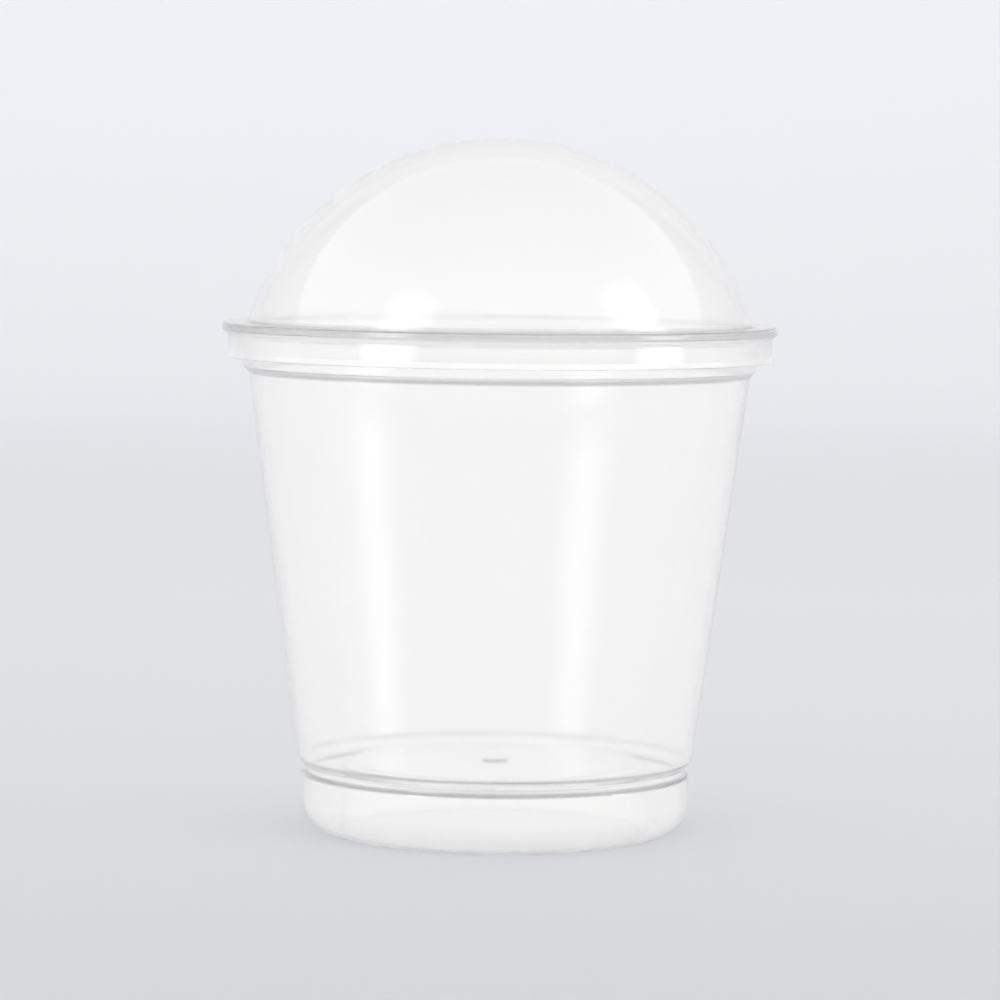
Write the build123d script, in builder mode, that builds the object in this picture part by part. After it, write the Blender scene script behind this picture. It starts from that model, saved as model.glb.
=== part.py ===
import os

from build123d import *

# Clear thermoformed cold-drink cup with a dome lid that grips its rim.
# Millimetres, +Z up, standing ring on Z = 0, both pieces turned about the Z axis.

# Cup: one vacuum-formed sheet from the floor to the rolled rim
cup_height = 89.6
cup_wall = 0.45
rim_diameter = 95.0
rim_roll_diameter = 2.3

# Collar under the rim, and the shoulder that steps in to the body
collar_height = 7.4
collar_taper = 0.45
shoulder_step = 1.0

# Body cone, stacking ledge and foot
body_foot_diameter = 70.0
foot_diameter = 68.8
foot_height = 10.6
ledge_height = 2.7
ledge_depth = 0.7
ledge_shelf_slope = 0.25
ledge_lead_in = 1.5
ledge_brow_radius = 1.6
heel_radius = 5.5
standing_ring_width = 1.3

# Floor, pushed up inside the standing ring
floor_height = 12.6
push_up_taper = 0.5
push_up_corner = 1.2
centre_mark_diameter = 4.4
centre_mark_height = 0.4

# Lid: one sheet from the dome, down into the mouth, over the rim and down the skirt
lid_wall = 0.35
dome_rise = 32.65
dome_sill = 1.0
plug_depth = 2.0
plug_groove = 0.5
flange_reach = 1.05
flange_edge = 0.75
skirt_height = 5.8
skirt_neck = 1.0
lip_flare = 0.45

# Running clearances between the lid and the cup
seat_clearance = 0.1
plug_clearance = 0.1
skirt_clearance = 0.1

# Smallest inside radius that the sheet is drawn to
sheet_radius = 0.2
cup_bend = cup_wall + sheet_radius
lid_bend = lid_wall + sheet_radius

# Rim: the sheet runs up the collar, then rolls outwards and under
rim_radius = rim_diameter / 2
roll_radius = rim_roll_diameter / 2
roll_inside = roll_radius - cup_wall
roll_centre = (rim_radius - roll_radius, cup_height - roll_radius)
collar_top_radius = roll_centre[0] - roll_inside
mouth_radius = collar_top_radius - cup_wall

# Levels and radii of the cup's outer face
shoulder_top = cup_height - collar_height
shoulder_bottom = shoulder_top - shoulder_step
collar_foot_radius = collar_top_radius - collar_taper
body_top_radius = collar_foot_radius - shoulder_step
body_foot_radius = body_foot_diameter / 2
foot_radius = foot_diameter / 2
ledge_radius = foot_radius - ledge_depth
ledge_top = foot_height + ledge_height
ring_outer_radius = foot_radius - heel_radius
ring_inner_radius = ring_outer_radius - standing_ring_width
push_up_radius = ring_inner_radius - cup_bend

with BuildPart() as cup:
    with BuildSketch(Plane.XZ):
        # The rim's roll stays open on the quarter that faces the collar
        with Locations(roll_centre):
            Circle(roll_radius)
            Circle(roll_inside, mode=Mode.SUBTRACT)
            Rectangle(roll_radius, roll_radius, align=Align.MAX, mode=Mode.SUBTRACT)
        with BuildLine():
            FilletPolyline(
                (0, floor_height - cup_wall),
                (push_up_radius - push_up_taper, floor_height - cup_wall),
                (push_up_radius, 0),
                (foot_radius, 0),
                (foot_radius, foot_height),
                (ledge_radius, foot_height + ledge_shelf_slope),
                (ledge_radius, ledge_top - ledge_lead_in),
                (body_foot_radius, ledge_top),
                (body_top_radius, shoulder_bottom),
                (collar_foot_radius, shoulder_top),
                (collar_top_radius, roll_centre[1]),
                radius=[
                    push_up_corner,
                    cup_bend,
                    heel_radius,
                    cup_bend,
                    sheet_radius,
                    sheet_radius,
                    ledge_brow_radius,
                    cup_bend,
                    cup_bend,
                ],
            )
            offset(amount=cup_wall, side=Side.LEFT, closed=True)
        make_face()
    revolve(axis=Axis.Z)
    with BuildSketch(Plane.XY.offset(floor_height)):
        Circle(centre_mark_diameter / 2)
    extrude(amount=centre_mark_height)

cup.part.label = "cup"

# Levels and radii of the lid's inner face, the one that meets the cup
seat_height = cup_height + seat_clearance
plug_radius = mouth_radius - plug_clearance
dome_radius = plug_radius - plug_groove - 2 * lid_wall
sill_height = seat_height + dome_sill
apex_height = seat_height + dome_rise
sphere_rise = apex_height - sill_height
sphere_radius = (dome_radius**2 + sphere_rise**2) / (2 * sphere_rise)
skirt_radius = rim_radius + skirt_clearance
flange_radius = skirt_radius + flange_reach
skirt_foot = seat_height - skirt_height

with BuildPart() as dome_lid:
    with BuildSketch(Plane.XZ):
        with BuildLine():
            RadiusArc((0, apex_height), (dome_radius, sill_height), sphere_radius)
            FilletPolyline(
                (dome_radius, sill_height),
                (dome_radius, seat_height - plug_depth),
                (plug_radius, seat_height - plug_depth),
                (plug_radius, seat_height),
                (flange_radius, seat_height),
                (flange_radius, seat_height - flange_edge),
                (skirt_radius, seat_height - flange_edge - skirt_neck),
                (skirt_radius, skirt_foot + 2 * lip_flare),
                (skirt_radius + lip_flare, skirt_foot),
                radius=[
                    lid_bend,
                    lid_bend,
                    sheet_radius,
                    sheet_radius,
                    sheet_radius,
                    lid_bend,
                    lid_bend,
                ],
            )
            offset(amount=lid_wall, side=Side.RIGHT, closed=True)
        make_face()
    revolve(axis=Axis.Z)

dome_lid.part.label = "dome_lid"

os.makedirs("parts", exist_ok=True)
export_step(cup.part, "parts/cup.step")
export_step(dome_lid.part, "parts/dome_lid.step")
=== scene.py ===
import math

import bmesh
import bpy
from mathutils import Matrix, Vector

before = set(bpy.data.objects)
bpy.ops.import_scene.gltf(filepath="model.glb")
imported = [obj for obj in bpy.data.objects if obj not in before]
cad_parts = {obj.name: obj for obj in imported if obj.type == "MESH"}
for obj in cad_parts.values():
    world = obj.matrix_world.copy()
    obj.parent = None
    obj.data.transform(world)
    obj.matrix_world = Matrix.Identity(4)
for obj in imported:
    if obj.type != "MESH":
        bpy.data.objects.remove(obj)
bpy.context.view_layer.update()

# Metres and degrees throughout, unless a comment says otherwise

# Camera, worked out from the ellipses of the rings; the first four are pixels of the 1000 x 1000 image
IMAGE_SIZE = 1000.0
FOCAL_LENGTH = 4536.0
HORIZON_Y = 172.0
AXIS_X = 498.0
LEAN = 0.7
CAMERA_DISTANCE = 0.8
CAMERA_HEIGHT = 0.1167
SENSOR_WIDTH_MM = 36.0
CLIP_START = 0.05

# Backdrop: one sweep of paper, floor and wall joined by a round cove
SWEEP_WIDTH = 24.0
SWEEP_FRONT = -12.0
SWEEP_BACK = 1.7
COVE_RADIUS = 0.5
WALL_TOP = 1.8
COVE_STEPS = 24

# Paper tones: a place along the sweep and its grey, 0-255, with what red and blue add to it
PAPER_GREYS = (
    (-0.4, 199),
    (-0.13, 209),
    (0.06, 219),
    (0.44, 230),
    (1.24, 238),
    (1.55, 239),
    (1.8, 243),
    (2.4, 244),
)
PAPER_START = PAPER_GREYS[0][0]
PAPER_END = PAPER_GREYS[-1][0]
PAPER_RED = -1
PAPER_BLUE = 4

# Painted shade: the paper is greyer to its sides, between these distances from the middle, standing in for
# dim surroundings that the cup's edges reflect
PAPER_SHADE_START = 0.45
PAPER_SHADE_END = 1.6
PAPER_SIDE_SHADE = 0.7

# Studio light: its level round the table and overhead, and the sines of the heights between them
STUDIO_COLOUR = (1.0, 1.0, 1.0, 1.0)
STUDIO_LEVEL = 1.15
CEILING_LEVEL = 0.75
CEILING_START = 0.5
CEILING_FULL = 0.95

# Softboxes: name and azimuth, from the front and positive to the right. The radiance is that of an
# open face: the spread keeps light off the floor beside the lamp and gathers it towards the object
SOFTBOXES = (("left_softbox", -46), ("right_softbox", 69))
SOFTBOX_RADIANCE = 1.62
SOFTBOX_SPREAD = 120
SOFTBOX_ELEVATION = 12
SOFTBOX_DISTANCE = 0.9
SOFTBOX_WIDTH = 0.45
SOFTBOX_HEIGHT = 1.3
SOFTBOX_TARGET = (0.0, 0.0, 0.06)

# Clear plastic sheet; the depth density is per metre
PLASTIC_TINT = (0.99, 0.985, 0.975, 1.0)
PLASTIC_IOR = 1.5
CLARITY = 0.78
LAMP_TINT = (0.99, 0.99, 0.99, 1.0)
DEPTH_TINT = (0.8, 0.8, 0.8, 1.0)
DEPTH_DENSITY = 100.0

# Draw ripples run up the wall: noise cycles per metre along each axis
CUP_RIPPLES = (60.0, 60.0, 6.0)
LID_RIPPLES = (40.0, 40.0, 20.0)
RIPPLE_DETAIL = 3.0
RIPPLE_ROUGHNESS = 0.55
RIPPLE_STRENGTH = 0.12
RIPPLE_DEPTH = 0.0004

# Fine grain of the mould in the gloss
GRAIN_SCALE = 150.0
GRAIN_DETAIL = 2.0
GRAIN_ROUGHNESS = 0.5
GLOSS_RANGE = (0.03, 0.12)

# Painted shade at the sheet's tight bends, standing in for the dark lines that refraction draws there:
# height or radius of the bend, its half width, and strength
BEND_PAINTED_SHADE = (0.55, 0.55, 0.55, 1.0)
CUP_SHADE_BANDS = (
    ("height", 0.0107, 0.0007, 1.0),
    ("height", 0.0131, 0.0007, 0.5),
    ("height", 0.0816, 0.0008, 0.7),
    ("radius", 0.0021, 0.0007, 1.0),
)
LID_SHADE_BANDS = (
    ("height", 0.0899, 0.0006, 0.6),
    ("radius", 0.0490, 0.0005, 0.7),
)

# Sockets of a colour Mix node, which share their names and so go by number
MIX_FACTOR = 0
MIX_FIRST = 6
MIX_SECOND = 7
MIX_RESULT = 2


def srgb(red, green, blue):
    """Linear colour from 0-255 display values."""
    def linear(value):
        share = value / 255
        return share / 12.92 if share <= 0.04045 else ((share + 0.055) / 1.055) ** 2.4
    return (linear(red), linear(green), linear(blue), 1.0)


def new_material(name):
    material = bpy.data.materials.new(name)
    material.use_nodes = True
    tree = material.node_tree
    tree.nodes.clear()
    return material, tree


def node(tree, kind, **values):
    """A node with its input sockets or properties set by name."""
    made = tree.nodes.new(kind)
    for key, value in values.items():
        socket = key.replace("_", " ")
        if socket in made.inputs:
            made.inputs[socket].default_value = value
        else:
            setattr(made, key, value)
    return made


def calculate(tree, operation, *operands):
    """The result of a Math node on numbers or other nodes' outputs."""
    made = node(tree, "ShaderNodeMath", operation=operation)
    for socket, operand in zip(made.inputs, operands):
        if isinstance(operand, bpy.types.NodeSocket):
            tree.links.new(operand, socket)
        else:
            socket.default_value = operand
    return made.outputs["Value"]


def fade(tree, value, start, end, low, high, way="SMOOTHSTEP"):
    """Goes from low to high as the value goes from start to end."""
    made = node(tree, "ShaderNodeMapRange", interpolation_type=way)
    for name, number in (("From Min", start), ("From Max", end), ("To Min", low), ("To Max", high)):
        made.inputs[name].default_value = number
    tree.links.new(value, made.inputs["Value"])
    return made.outputs["Result"]


def axes_of(tree, vector):
    axes = node(tree, "ShaderNodeSeparateXYZ")
    tree.links.new(vector, axes.inputs["Vector"])
    return axes.outputs


def noise(tree, vector, scale, detail, roughness):
    made = node(tree, "ShaderNodeTexNoise", Scale=scale, Detail=detail, Roughness=roughness)
    tree.links.new(vector, made.inputs["Vector"])
    return made.outputs["Fac"]


def painted_bend_shade(tree, place, shade_bands):
    """Painted shade along the sheet's bends, from nothing to one at each place, standing in for the dark
    lines that refraction draws there.
    """
    flat = node(tree, "ShaderNodeVectorMath", operation="MULTIPLY")
    flat.inputs[1].default_value = (1.0, 1.0, 0.0)
    tree.links.new(place, flat.inputs[0])
    radius = node(tree, "ShaderNodeVectorMath", operation="LENGTH")
    tree.links.new(flat.outputs["Vector"], radius.inputs[0])
    measures = {"height": axes_of(tree, place)["Z"], "radius": radius.outputs["Value"]}

    shade = None
    for measure, centre, half_width, strength in shade_bands:
        away = calculate(tree, "ABSOLUTE", calculate(tree, "SUBTRACT", measures[measure], centre))
        band = fade(tree, away, 0.0, half_width, strength, 0.0)
        shade = calculate(tree, "MAXIMUM", shade, band) if shade else band
    return shade


def clear_plastic(name, ripple_scale, shade_bands):
    """Clear formed sheet: glassy, a trace milky, with painted shade along its bends and faint draw
    ripples.
    """
    material, tree = new_material(name)
    link = tree.links.new
    place = node(tree, "ShaderNodeTexCoord").outputs["Object"]

    stretch = node(tree, "ShaderNodeMapping", Scale=ripple_scale)
    link(place, stretch.inputs["Vector"])
    ripples = noise(tree, stretch.outputs["Vector"], 1.0, RIPPLE_DETAIL, RIPPLE_ROUGHNESS)
    bump = node(tree, "ShaderNodeBump", Strength=RIPPLE_STRENGTH, Distance=RIPPLE_DEPTH)
    link(ripples, bump.inputs["Height"])

    grain = noise(tree, place, GRAIN_SCALE, GRAIN_DETAIL, GRAIN_ROUGHNESS)
    gloss = fade(tree, grain, 0.0, 1.0, *GLOSS_RANGE, way="LINEAR")

    # Painted shade: the plastic's tint turns dark grey along the listed bends, standing in for the dark
    # lines that refraction draws there
    tint = node(tree, "ShaderNodeMix", data_type="RGBA")
    tint.inputs[MIX_FIRST].default_value = PLASTIC_TINT
    tint.inputs[MIX_SECOND].default_value = BEND_PAINTED_SHADE
    link(painted_bend_shade(tree, place, shade_bands), tint.inputs[MIX_FACTOR])

    sheet = node(tree, "ShaderNodeBsdfPrincipled", IOR=PLASTIC_IOR, Transmission_Weight=CLARITY)
    link(tint.outputs[MIX_RESULT], sheet.inputs["Base Color"])
    link(gloss, sheet.inputs["Roughness"])
    link(bump.outputs["Normal"], sheet.inputs["Normal"])

    # Light from the lamps reaches the table and the far wall through the sheet
    path = node(tree, "ShaderNodeLightPath")
    passed = node(tree, "ShaderNodeBsdfTransparent", Color=LAMP_TINT)
    seen = sheet
    for ray in ("Is Diffuse Ray", "Is Shadow Ray"):
        choice = node(tree, "ShaderNodeMixShader")
        link(path.outputs[ray], choice.inputs["Fac"])
        link(seen.outputs[0], choice.inputs[1])
        link(passed.outputs["BSDF"], choice.inputs[2])
        seen = choice

    # Light that runs along inside the sheet fades, so edges show as darker lines
    depth = node(tree, "ShaderNodeVolumeAbsorption", Color=DEPTH_TINT, Density=DEPTH_DENSITY)

    output = node(tree, "ShaderNodeOutputMaterial")
    link(seen.outputs[0], output.inputs["Surface"])
    link(depth.outputs["Volume"], output.inputs["Volume"])
    return material


def sweep_material():
    """Pale blue-grey paper, lighter up the wall, with painted shade greying it far out to its sides."""
    material, tree = new_material("paper_sweep")
    link = tree.links.new
    axes = axes_of(tree, node(tree, "ShaderNodeTexCoord").outputs["Object"])

    # Y and Z together run on along the paper, over the floor and up the wall
    along = calculate(tree, "ADD", axes["Y"], axes["Z"])
    ramp = node(tree, "ShaderNodeValToRGB")
    stops = ramp.color_ramp.elements
    for place, grey in PAPER_GREYS:
        stop = stops.new((place - PAPER_START) / (PAPER_END - PAPER_START))
        stop.color = srgb(grey + PAPER_RED, grey, grey + PAPER_BLUE)
    # The two stops that the ramp came with lie at its ends
    stops.remove(stops[-1])
    stops.remove(stops[0])
    link(fade(tree, along, PAPER_START, PAPER_END, 0.0, 1.0, way="LINEAR"), ramp.inputs["Fac"])

    # Painted shade: the paper's colour darkens away from the middle, standing in for dim surroundings at
    # the sides
    aside = calculate(tree, "ABSOLUTE", axes["X"])
    tone = node(tree, "ShaderNodeVectorMath", operation="SCALE")
    link(ramp.outputs["Color"], tone.inputs[0])
    link(
        fade(tree, aside, PAPER_SHADE_START, PAPER_SHADE_END, 1.0, PAPER_SIDE_SHADE),
        tone.inputs["Scale"],
    )

    paper = node(tree, "ShaderNodeBsdfDiffuse")
    link(tone.outputs["Vector"], paper.inputs["Color"])
    output = node(tree, "ShaderNodeOutputMaterial")
    link(paper.outputs["BSDF"], output.inputs["Surface"])
    return material


def make_sweep():
    """The floor runs back, curves up through the cove and becomes the wall."""
    half = SWEEP_WIDTH / 2
    line = [(SWEEP_FRONT, 0.0)]
    for step in range(COVE_STEPS + 1):
        turn = math.pi / 2 * step / COVE_STEPS
        line.append((
            SWEEP_BACK - COVE_RADIUS + COVE_RADIUS * math.sin(turn),
            COVE_RADIUS - COVE_RADIUS * math.cos(turn),
        ))
    line.append((SWEEP_BACK, WALL_TOP))
    mesh = bmesh.new()
    rows = [[mesh.verts.new((x, y, z)) for x in (-half, half)] for y, z in line]
    for low, high in zip(rows, rows[1:]):
        mesh.faces.new((low[0], low[1], high[1], high[0]))
    data = bpy.data.meshes.new("sweep")
    mesh.to_mesh(data)
    mesh.free()
    for polygon in data.polygons:
        polygon.use_smooth = True
    sweep = bpy.data.objects.new("sweep", data)
    bpy.context.scene.collection.objects.link(sweep)
    data.materials.append(sweep_material())


def make_softbox(name, azimuth):
    """A lamp whose face fades to its edges."""
    lamp = bpy.data.lights.new(name, "AREA")
    lamp.shape = "RECTANGLE"
    lamp.size = SOFTBOX_WIDTH
    lamp.size_y = SOFTBOX_HEIGHT
    lamp.energy = SOFTBOX_RADIANCE * math.pi * SOFTBOX_WIDTH * SOFTBOX_HEIGHT
    lamp.spread = math.radians(SOFTBOX_SPREAD)
    lamp.use_nodes = True
    tree = lamp.node_tree
    across = axes_of(tree, node(tree, "ShaderNodeNewGeometry").outputs["Parametric"])
    # 4 u (1 - u) is one in the middle of the face and nothing at its edges, and so is its product with v's
    level = 1.0
    for axis in ("X", "Y"):
        slope = calculate(tree, "MULTIPLY", across[axis], calculate(tree, "SUBTRACT", 1.0, across[axis]))
        level = calculate(tree, "MULTIPLY", level, calculate(tree, "MULTIPLY", slope, 4.0))
    tree.links.new(level, tree.nodes["Emission"].inputs["Strength"])

    turn = math.radians(azimuth)
    rise = math.radians(SOFTBOX_ELEVATION)
    away = Vector((
        math.sin(turn) * math.cos(rise),
        -math.cos(turn) * math.cos(rise),
        math.sin(rise),
    ))
    box = bpy.data.objects.new(name, lamp)
    box.location = Vector(SOFTBOX_TARGET) + away * SOFTBOX_DISTANCE
    box.rotation_euler = away.to_track_quat("Z", "Y").to_euler()
    box.visible_camera = False
    bpy.context.scene.collection.objects.link(box)


def make_world():
    """An even studio round the table, darker overhead."""
    world = bpy.data.worlds.new("studio")
    world.use_nodes = True
    tree = world.node_tree
    rise = axes_of(tree, node(tree, "ShaderNodeTexCoord").outputs["Generated"])["Z"]
    level = fade(tree, rise, CEILING_START, CEILING_FULL, STUDIO_LEVEL, CEILING_LEVEL)
    background = tree.nodes["Background"]
    background.inputs["Color"].default_value = STUDIO_COLOUR
    tree.links.new(level, background.inputs["Strength"])
    bpy.context.scene.world = world


def make_camera():
    """Level with the lid, looking a little down, with the photograph's slight lean."""
    lens = bpy.data.cameras.new("camera")
    lens.sensor_fit = "HORIZONTAL"
    lens.sensor_width = SENSOR_WIDTH_MM
    lens.lens = SENSOR_WIDTH_MM * FOCAL_LENGTH / IMAGE_SIZE
    lens.clip_start = CLIP_START
    camera = bpy.data.objects.new("camera", lens)
    pitch = math.atan((IMAGE_SIZE / 2 - HORIZON_Y) / FOCAL_LENGTH)
    offset = (IMAGE_SIZE / 2 - AXIS_X) * CAMERA_DISTANCE / FOCAL_LENGTH
    place = Matrix.Translation((offset, -CAMERA_DISTANCE, CAMERA_HEIGHT))
    look = Matrix.Rotation(math.pi / 2 - pitch, 4, "X")
    lean = Matrix.Rotation(math.radians(LEAN), 4, "Z")
    camera.matrix_world = place @ look @ lean
    bpy.context.scene.collection.objects.link(camera)
    bpy.context.scene.camera = camera


def dress(name, material):
    """Gives a CAD node its material in every slot."""
    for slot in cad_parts[name].material_slots:
        slot.material = material


dress("cup", clear_plastic("clear_cup", CUP_RIPPLES, CUP_SHADE_BANDS))
dress("dome_lid", clear_plastic("clear_lid", LID_RIPPLES, LID_SHADE_BANDS))

make_world()
make_sweep()
for softbox in SOFTBOXES:
    make_softbox(*softbox)
make_camera()

bpy.context.scene.view_settings.view_transform = "Standard"
